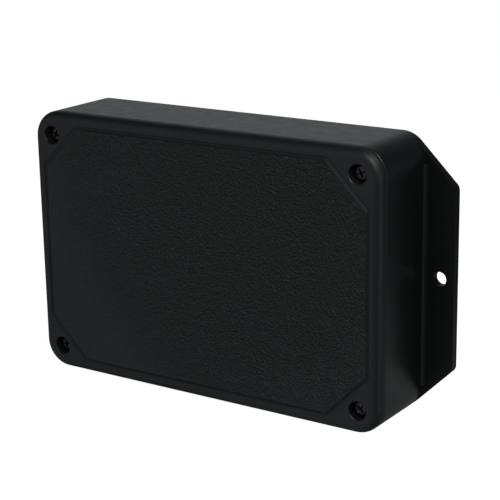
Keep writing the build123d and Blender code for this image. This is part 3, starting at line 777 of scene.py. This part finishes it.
# ---------------- antenna jacks
THREAD_PITCH = 25.4 / 36
THREAD_DEPTH = 0.38
THREAD_RADIUS = 3.175
SHANK_RADIUS = 3.0
NUT_BORE = 3.05
NUT_CORNER_RADIUS = 4.62
WALL_INSIDE_X = base_low.x + 11.6 * MM
for role in JACKS:
    low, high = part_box(f"{role}_jack_body")
    washer_low, washer_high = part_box(f"{role}_jack_washer")
    nut_low, nut_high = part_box(f"{role}_jack_nut")
    axis = (washer_low + washer_high) / 2
    wall_inside = (WALL_INSIDE_X - low.x) / MM
    relief = (nut_low.x - low.x) / MM
    bm = bmesh.new()
    profile = [(0.25, 2.3), (0.0, 2.45), (0.0, 2.8), (0.3, THREAD_RADIUS)]
    profile += [(along, THREAD_RADIUS) for along in steps(0.35, relief - 0.45, THREAD_PITCH / 8)]
    profile += [(relief - 0.4, 2.85), (relief, 2.85), (relief + 0.02, SHANK_RADIUS)]
    profile += [(wall_inside, SHANK_RADIUS), (wall_inside, 2.05), (1.9, 2.05), (1.9, 2.3)]
    thread = threaded(THREAD_PITCH, THREAD_DEPTH, 0.35, relief - 0.45)

    def thread_only(angle, along, radius):
        """Cuts the thread into the outer diameter and leaves the shank and the bore alone."""
        return thread(angle, along, radius) if radius == THREAD_RADIUS else radius

    place = in_mm(Vector((low.x, axis.y, axis.z)), INTO_CASE)
    turned(bm, place, profile, 64, thread_only, closed=True)
    half = 3.2 * MM
    block_low = Vector((low.x + 11.2 * MM, axis.y - half, axis.z - half))
    block_high = Vector((high.x, axis.y + half, axis.z + half))
    block(bm, block_low, block_high, 0.35 * MM)
    leg_x = (block_low.x + block_high.x) / 2
    leg_y = axis.y + half - 0.2 * MM
    reach = (high.y - leg_y) / MM
    for x in (leg_x - 2.2 * MM, leg_x + 2.2 * MM):
        for z in (axis.z - 2.2 * MM, axis.z + 2.2 * MM):
            place = in_mm(Vector((x, leg_y, z)), INWARDS)
            turned(bm, place, [(0.0, 0.5), (reach - 0.25, 0.5), (reach, 0.3)], 16)
    finish_piece(f"{role}_jack_shell", bm, "case", "jack_gold", replaces=[f"{role}_jack_body"])

    bm = bmesh.new()
    flats = (nut_high.y - nut_low.y) / MM / 2
    thick = (nut_high.x - nut_low.x) / MM

    def hexagon(angle, along, radius):
        """The nut's flats, cut by the cone that chamfers its corners on both faces."""
        if radius < flats - 0.5:
            return radius
        turn = (angle + math.pi / 6) % (math.pi / 3) - math.pi / 6
        cone = flats + 0.05 + 1.7 * min(along, thick - along)
        return min(flats / math.cos(turn), cone, radius)

    nut_profile = [(0.2, NUT_BORE), (0.0, 3.3), (0.0, flats)]
    nut_profile += [(along, NUT_CORNER_RADIUS) for along in steps(0.05, thick - 0.05, 0.1)]
    nut_profile += [(thick, flats), (thick, 3.3), (thick - 0.2, NUT_BORE)]
    place = in_mm(Vector((nut_low.x, axis.y, axis.z)), INTO_CASE, 90.0 + 8.0 * JACKS.index(role))
    turned(bm, place, nut_profile, 96, hexagon, closed=True)
    finish_piece(f"{role}_nut", bm, "case", "jack_gold", replaces=[f"{role}_jack_nut"], crease=20.0)

    bm = bmesh.new()
    outer = (washer_high.y - washer_low.y) / MM / 2

    def toothed(angle, along, radius):
        """Teeth round the outside of a lock washer."""
        if radius < outer - 0.2:
            return radius
        return radius - 0.45 * (0.5 + 0.5 * math.tanh(4 * math.cos(18 * angle)))

    thick = (washer_high.x - washer_low.x) / MM
    washer_profile = [(0.0, NUT_BORE), (0.0, outer - 0.15), (0.12, outer), (thick - 0.12, outer)]
    washer_profile += [(thick, outer - 0.15), (thick, NUT_BORE)]
    place = in_mm(Vector((washer_low.x, axis.y, axis.z)), INTO_CASE)
    turned(bm, place, washer_profile, 144, toothed, closed=True)
    finish_piece(f"{role}_lock_washer", bm, "case", "plated_nickel", replaces=[f"{role}_jack_washer"])


# ---------------- board: copper, ink and solder
TRACE_FRONT = BOARD_Y - 0.035 * MM
PAD_FRONT = BOARD_Y - 0.045 * MM
INK_FRONT = BOARD_Y - 0.02 * MM
INTO_BOARD = BOARD_Y + 0.05 * MM
controller = centre_of("microcontroller")
regulator = centre_of("voltage_regulator")
OUTLINE_MARGINS = {
    "crystal": 1.0,
    "power_inductor": 1.0,
    "input_capacitor": 0.9,
    "output_capacitor": 0.9,
    "voltage_regulator": 3.2,
    "donor_duplexer": 1.4,
    "server_duplexer": 1.4,
}


def track(bm, width, *places):
    """A track of that width through places (across, up) on the board, all in mm."""
    points = [Vector(place) * MM for place in places]
    flat_path(bm, points, width * MM, TRACE_FRONT, INTO_BOARD)


def add_traces():
    """Tracks under the solder resist: supply runs, buses from the controller and lines to the jacks."""
    bm = bmesh.new()
    cx, cz = controller.x / MM, controller.z / MM
    for k in range(10):
        offset = -2.25 + 0.5 * k
        bend = 1.6 + 0.35 * abs(k - 4.5)
        spread = cz + offset * 2.2
        right = ((cx + 4.6 + bend, cz + offset), (cx + 6.4 + bend, spread), (cx + 9.0, spread))
        track(bm, 0.2, (cx + 4.6, cz + offset), *right)
        x = cx + offset
        track(bm, 0.2, (x, cz - 4.6), (x, cz - 5.6 - bend), (x + 1.6, cz - 7.2 - bend), (x + 1.6, cz - 12.0))
    for k in range(8):
        x = -10.0 + 5.0 * (k - 3.5)
        for side in (-1, 1):
            shifted = x + 0.6 * side
            ends = ((shifted, 40.0 + side * 2.3), (shifted, 40.0 + side * 4.0))
            track(bm, 0.25, (x, 40.0 + side * 0.9), (x, 40.0 + side * 1.6), *ends)
    for k in range(4):
        z = 36.2 - 0.55 * k
        x = -0.3 * k
        track(bm, 0.22, (-33.0 + k, z), (8.0 + x, z), (10.5 + x, z + 2.5), (20.4, z + 9.5))
    for role in JACKS:
        z = centre_of(f"{role}_duplexer").z / MM
        inner = 40.0 + (z - 40.0) * 0.55
        track(bm, 1.1, (-48.0, z), (-38.5, z))
        for side in (-1, 1):
            up = inner + side * 2.2
            track(bm, 0.5, (-33.0, z + side * 2.5), (-32.2, z + side * 2.5), (-31.6, z + side * 1.9))
            track(bm, 0.3, (-47.0, inner + side), (-40.0, inner + side), (-37.0, up), (-33.5, up))
    track(bm, 2.4, (-43.0, 31.5), (-35.0, 31.5))
    track(bm, 1.6, (-12.0, 10.5), (-4.0, 10.5))
    track(bm, 2.0, (14.0, 7.5), (20.0, 7.5), (22.0, 9.5), (22.0, 13.0))
    track(bm, 3.0, (27.5, 29.0), (33.5, 29.0))
    track(bm, 3.0, (38.0, 24.4), (38.0, 22.6))
    finish_piece("board_tracks", bm, "case", "trace")


def add_ring(bm, x, z, outer, inner, front=None, segments=20):
    """A plated ring, or with no inner radius a disc, on the board's face, in mm."""
    front = PAD_FRONT if front is None else front
    place = in_mm(Vector((x * MM, front, z * MM)), INWARDS)
    thick = (INTO_BOARD - front) / MM
    if inner > 0:
        profile = [(0.0, inner), (0.0, outer - 0.02), (0.02, outer), (thick, outer), (thick, inner)]
        turned(bm, place, profile, segments, closed=True)
    else:
        turned(bm, place, [(0.0, outer - 0.02), (0.02, outer), (thick, outer)], segments)


def add_via(bm, x, z, outer=0.3, inner=0.14):
    add_ring(bm, x, z, outer, inner, segments=12)


def add_plate(bm, x, z, width, height, front, bevel):
    """A thin rectangle on the board's face, centred on (x, z), in mm."""
    low = Vector(((x - width / 2) * MM, front, (z - height / 2) * MM))
    high = Vector(((x + width / 2) * MM, INTO_BOARD, (z + height / 2) * MM))
    block(bm, low, high, bevel * MM, 1)


def add_pads():
    """Bare plated copper: rings round the screws, fences of vias round the shields, test points and lands."""
    bm = bmesh.new()
    for x, z in standoffs:
        add_ring(bm, x / MM, z / MM, 3.3, 1.45, segments=40)
        for k in range(8):
            angle = 2 * math.pi * (k + 0.5) / 8
            add_via(bm, x / MM + 4.1 * math.cos(angle), z / MM + 4.1 * math.sin(angle))
    for path in PATHS:
        low, high = (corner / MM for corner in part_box(f"{path}_shield_cover"))
        left, right, bottom, top = low.x - 1.2, high.x + 1.2, low.z - 1.2, high.z + 1.2
        fence = [(x, z) for x in steps(left, right, 1.9) for z in (bottom, top)]
        fence += [(x, z) for z in steps(bottom, top, 1.9)[1:-1] for x in (left, right)]
        for x, z in fence:
            add_via(bm, x, z, 0.32, 0.15)
    for k in range(6):
        add_ring(bm, 18.0 + 2.6 * k, 68.5, 0.65, 0.0)
        add_ring(bm, -33.0 - 1.8 * (k % 3), 43.0 + 2.2 * (k // 3), 0.5, 0.0)
    for k in range(14):
        add_via(bm, 46.0 + 1.6 * (k % 3), 22.0 + 2.0 * (k // 3))
        add_via(bm, 16.0 + 1.5 * (k % 2), 20.0 + 2.3 * (k // 2))
    for x, z in ((-50.0, 12.5), (51.0, 72.5), (50.0, 15.0)):
        add_ring(bm, x, z, 0.5, 0.0, segments=24)
    for k in range(5):
        add_plate(bm, 17.0 + 2.54 * k, 72.45, 1.7, 1.7, PAD_FRONT, 0.01)
    finish_piece("board_pads", bm, "case", "jack_gold")


def outline_strip(bm, x, z, width, height, line=0.16):
    """A printed rectangle round a component, in mm."""
    for side in (-1, 1):
        add_plate(bm, x, z + side * height / 2, width + line, line, INK_FRONT, 0.004)
        add_plate(bm, x + side * width / 2, z, line, height - line, INK_FRONT, 0.004)


def add_ink():
    """Printed outlines round the larger components, and a dot by the first pin of each chip."""
    bm = bmesh.new()
    for name, margin in OUTLINE_MARGINS.items():
        low, high = (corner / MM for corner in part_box(name))
        middle = (low + high) / 2
        outline_strip(bm, middle.x, middle.z, high.x - low.x + margin, high.z - low.z + margin)
    add_ring(bm, controller.x / MM - 5.2, controller.z / MM + 5.2, 0.35, 0.0, INK_FRONT)
    add_ring(bm, regulator.x / MM - 5.4, regulator.z / MM + 4.2, 0.35, 0.0, INK_FRONT)
    outline_strip(bm, 22.1, 72.45, 12.6, 2.4)
    finish_piece("board_ink", bm, "case", "ink")


def islands(name):
    """The box of each separate solid of a CAD node, as (low, high) corners in metres."""
    bm = bmesh.new()
    bm.from_mesh(nodes[name].data)
    bmesh.ops.remove_doubles(bm, verts=bm.verts, dist=1e-7)
    left = set(bm.verts)
    boxes = []
    while left:
        stack = [left.pop()]
        seen = set(stack)
        while stack:
            for edge in stack.pop().link_edges:
                for vert in edge.verts:
                    if vert not in seen:
                        seen.add(vert)
                        stack.append(vert)
        left -= seen
        low = Vector([min(vert.co[k] for vert in seen) for k in range(3)])
        high = Vector([max(vert.co[k] for vert in seen) for k in range(3)])
        boxes.append((low, high))
    bm.free()
    return sorted(boxes, key=lambda box: (round(box[0].x, 5), round(box[0].z, 5)))


def add_termination(bm, low, high, along, side, band):
    """One tinned end of a chip between two corners, and the fillet of solder that runs down from it."""
    plating = 0.02 * MM
    across = 2 - along
    cap_low, cap_high = low.copy(), high.copy()
    if side < 0:
        cap_high[along] = low[along] + band * MM
        cap_low[along] -= plating
    else:
        cap_low[along] = high[along] - band * MM
        cap_high[along] += plating
    cap_low[across] -= plating
    cap_high[across] += plating
    cap_low.y -= plating
    block(bm, cap_low, cap_high, 0.05 * MM)
    face = cap_low[along] if side < 0 else cap_high[along]
    foot = 0.42 * MM * side
    rise = (high.y - low.y) * 0.75
    curve = [(0.0, rise), (0.12, rise * 0.5), (0.4, rise * 0.18), (1.0, 0.05 * MM)]
    rings = []
    for edge in (cap_low[across] - 0.08 * MM, cap_high[across] + 0.08 * MM):
        ring = []
        for part, height in curve + [(1.0, 0.0), (-0.2, 0.0), (-0.2, rise)]:
            point = Vector((0.0, high.y - height, 0.0))
            point[along] = face + foot * part
            point[across] = edge
            ring.append(bm.verts.new(point))
        rings.append(ring)
    skin(bm, rings)


def add_terminations():
    """Tinned ends on every chip resistor and capacitor, with a fillet of solder down to the board."""
    bm = bmesh.new()
    for name, band in (("chip_resistors", 0.3), ("chip_capacitors", 0.35)):
        for low, high in islands(name):
            along = 0 if high.x - low.x > high.z - low.z else 2
            for side in (-1, 1):
                add_termination(bm, low, high, along, side, band)
    finish_piece("chip_terminations", bm, "case", "shield_tinplate", crease=50.0)


add_traces()
add_pads()
add_ink()
add_terminations()


# ---------------- components on the board
def gull_wings(bm, centre, half, count, pitch, sides, width, thickness=0.15):
    """Rows of bent leads round a chip: out of its side, down, and along the board."""
    bends = ((-0.1, 0.55), (0.28, 0.55), (0.45, 0.45), (0.52, 0.2), (0.66, 0.09), (1.1, 0.08))
    for turn in sides:
        spin = Matrix.Rotation(math.radians(turn), 3, "Y")
        side = spin @ Vector((0.0, 0.0, 1.0))
        for k in range(count):
            offset = (k - (count - 1) / 2) * pitch
            path = []
            for out, up in bends:
                local = Vector(((half + out) * MM, -up * MM, offset * MM))
                path.append(Vector((centre.x, BOARD_Y, centre.z)) + spin @ local)
            lead(bm, path, side, width * MM, thickness * MM)


bm = bmesh.new()
gull_wings(bm, controller, 3.5, 12, 0.5, (0, 90, 180, 270), 0.22)
gull_wings(bm, regulator, 3.25, 1, 1.0, (180,), 0.9, 0.3)
finish_piece("chip_leads", bm, "case", "shield_tinplate")

bm = bmesh.new()
for side in (-1, 1):
    start = Vector((regulator.x + side * 2.28 * MM, BOARD_Y - 0.9 * MM, regulator.z - 3.0 * MM))
    drop = [start + Vector((0.0, y, z)) * MM for y, z in ((0.0, 0.0), (0.0, -0.7), (0.8, -1.2), (0.8, -2.2))]
    lead(bm, drop, INTO_CASE, 0.8 * MM, 0.4 * MM)
block(bm, *on_board(regulator.x, regulator.z + 3.5 * MM, 5.4, 1.8, 0.5, 0.0), 0.12 * MM)
finish_piece("regulator_tab", bm, "case", "shield_tinplate")

bm = bmesh.new()
low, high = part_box("microcontroller")
add_ring(bm, low.x / MM + 1.1, high.z / MM - 1.1, 0.35, 0.0, low.y - 0.008 * MM)
for path in PATHS:
    for kind in ("power_amplifier", "low_noise_amplifier"):
        chip_low, chip_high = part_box(f"{path}_{kind}")
        add_ring(bm, chip_low.x / MM + 0.6, chip_high.z / MM - 0.6, 0.2, 0.0, chip_low.y - 0.008 * MM)
finish_piece("first_pin_dots", bm, "case", "resistor_film")


def rounded_outline(low, high, radius, margin=0.0, corner_steps=8):
    """Points (x, z) in metres of a rounded rectangle about a box."""
    points = []
    left, right = low.x - margin + radius, high.x + margin - radius
    bottom, top = low.z - margin + radius, high.z + margin - radius
    for k, (x, z) in enumerate(((right, top), (left, top), (left, bottom), (right, bottom))):
        for step in range(corner_steps + 1):
            angle = math.pi / 2 * (k + step / corner_steps)
            points.append((x + radius * math.cos(angle), z + radius * math.sin(angle)))
    return points


bm = bmesh.new()
low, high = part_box("crystal")
margin = 0.35 * MM
outline = rounded_outline(low, high, (high.z - low.z) / 2 + margin - 0.01 * MM, margin)
prism(bm, outline, BOARD_Y - 0.45 * MM, BOARD_Y - 0.02 * MM)
finish_piece("crystal_flange", bm, "case", "shield_tinplate")

bm = bmesh.new()
low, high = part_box("power_inductor")
middle_z = (low.z + high.z) / 2
strap = ((-0.6, 0.06), (0.1, 0.06), (0.16, 0.2), (0.12, 1.3), (-0.15, 1.7))
for side, edge in ((-1, low.x), (1, high.x)):
    path = [Vector((edge + side * out * MM, high.y - up * MM, middle_z)) for out, up in strap]
    lead(bm, path, Vector((0.0, 0.0, 1.0)), 2.6 * MM, 0.15 * MM)
    block(bm, *on_board(edge + side * 0.5 * MM, middle_z, 1.4, 3.0, 0.12, 0.0), 0.05 * MM)
finish_piece("inductor_terminals", bm, "case", "shield_tinplate")


CAN_RADIUS = 4.0


def can_capacitor(name):
    """A surface-mount can: beaded and scored aluminium, a moulded foot, tinned leads and a polarity band."""
    low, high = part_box(name)
    middle = (low + high) / 2
    height = (high.y - low.y) / MM
    top = Vector((middle.x, low.y, middle.z))
    can = bmesh.new()
    profile = [(0.22, 1.0), (0.22, 3.1), (0.05, 3.25), (0.0, 3.45), (0.08, 3.72), (0.28, 3.92)]
    profile += [(0.55, CAN_RADIUS), (height - 2.6, CAN_RADIUS)]
    for k in range(9):
        profile.append((height - 2.5 + 0.9 * k / 8, CAN_RADIUS - 0.38 * math.sin(math.pi * k / 8)))
    profile += [(height - 1.3, CAN_RADIUS), (height - 1.0, CAN_RADIUS - 0.05)]
    turned(can, in_mm(top, INWARDS), profile, 72)
    scores = []
    for turn, deeper in ((0.0, 0.0), (60.0, 0.01), (120.0, 0.02)):
        tool = bmesh.new()
        block(tool, Vector((-2.6, -0.09, 0.1 - deeper)), Vector((2.6, 0.09, 0.31 + deeper)))
        tool.transform(in_mm(top, INWARDS, turn + 15.0))
        scores.append(tool)
    finish_piece(f"{name}_can", carve(can, scores), "case", "can_aluminium", replaces=[name])

    foot = bmesh.new()
    half = (high.x - low.x) / 2
    cut = half - 1.2 * MM
    corners = ((-half, half), (half, half), (half, -cut), (cut, -half), (-cut, -half), (-half, -cut))
    outline = [(middle.x + x, middle.z + z) for x, z in corners]
    prism(foot, outline, high.y - 1.0 * MM, high.y - 0.12 * MM)
    for x in (middle.x - 3.6 * MM, middle.x + 3.6 * MM):
        for z in (middle.z - 3.6 * MM, middle.z + 3.6 * MM):
            block(foot, *on_board(x, z, 0.9, 0.9, 2.0, 0.9), 0.15 * MM)
    finish_piece(f"{name}_foot", foot, "case", "jack_moulding")

    band = bmesh.new()
    arc = []
    for k in range(25):
        angle = math.radians(25 + 130 * k / 24)
        arc.append((middle.x + 3.05 * MM * math.cos(angle), middle.z + 3.05 * MM * math.sin(angle)))
    prism(band, arc, low.y + 0.205 * MM, low.y + 0.24 * MM)
    finish_piece(f"{name}_band", band, "case", "chip_moulding")

    leads = bmesh.new()
    for side in (-1, 1):
        block(leads, *on_board(middle.x, middle.z + side * 4.4 * MM, 0.8, 1.4, 0.22, 0.0), 0.05 * MM)
    finish_piece(f"{name}_leads", leads, "case", "shield_tinplate")


for name in ("input_capacitor", "output_capacitor"):
    can_capacitor(name)

bm = bmesh.new()
dimple = [(0.0, 0.75), (0.06, 0.7), (0.14, 0.5), (0.18, 0.2)]
for path in PATHS:
    low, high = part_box(f"{path}_shield_cover")
    y = low.y + 1.5 * MM
    for x in steps(low.x + 3.0 * MM, high.x - 3.0 * MM, 4.0 * MM):
        turned(bm, in_mm(Vector((x, y, low.z)), Vector((0, 0, -1))), dimple, 16)
        turned(bm, in_mm(Vector((x, y, high.z)), Vector((0, 0, 1))), dimple, 16)
    for z in steps(low.z + 3.0 * MM, high.z - 3.0 * MM, 4.0 * MM):
        turned(bm, in_mm(Vector((low.x, y, z)), OUT_LEFT), dimple, 16)
        turned(bm, in_mm(Vector((high.x, y, z)), INTO_CASE), dimple, 16)
    bead = []
    for inset, depth in ((2.2, 0.02), (2.45, -0.14), (2.7, 0.02)):
        outline = rounded_outline(low, high, 0.9 * MM, -inset * MM)
        bead.append([bm.verts.new((x, low.y + depth * MM, z)) for x, z in outline])
    skin(bm, bead, closed=True)
finish_piece("shield_pressings", bm, "case", "shield_tinplate", crease=60.0)

bm = bmesh.new()
for role in JACKS:
    low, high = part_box(f"{role}_duplexer")
    for k in range(4):
        z = low.z + (1.5 + 2.67 * k) * MM
        stripe_low = Vector((low.x + 0.5 * MM, low.y - 0.02 * MM, z - 1.0 * MM))
        stripe_high = Vector((high.x - 0.5 * MM, low.y + 0.05 * MM, z + 1.0 * MM))
        block(bm, stripe_low, stripe_high, 0.02 * MM, 1)
    belt_low = Vector((low.x - 0.02 * MM, low.y + 0.6 * MM, low.z - 0.02 * MM))
    belt_high = Vector((high.x + 0.02 * MM, high.y - 0.3 * MM, high.z + 0.02 * MM))
    block(bm, belt_low, belt_high, 0.05 * MM, 1)
finish_piece("duplexer_plating", bm, "case", "shield_tinplate")


# ---------------- the end
low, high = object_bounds()
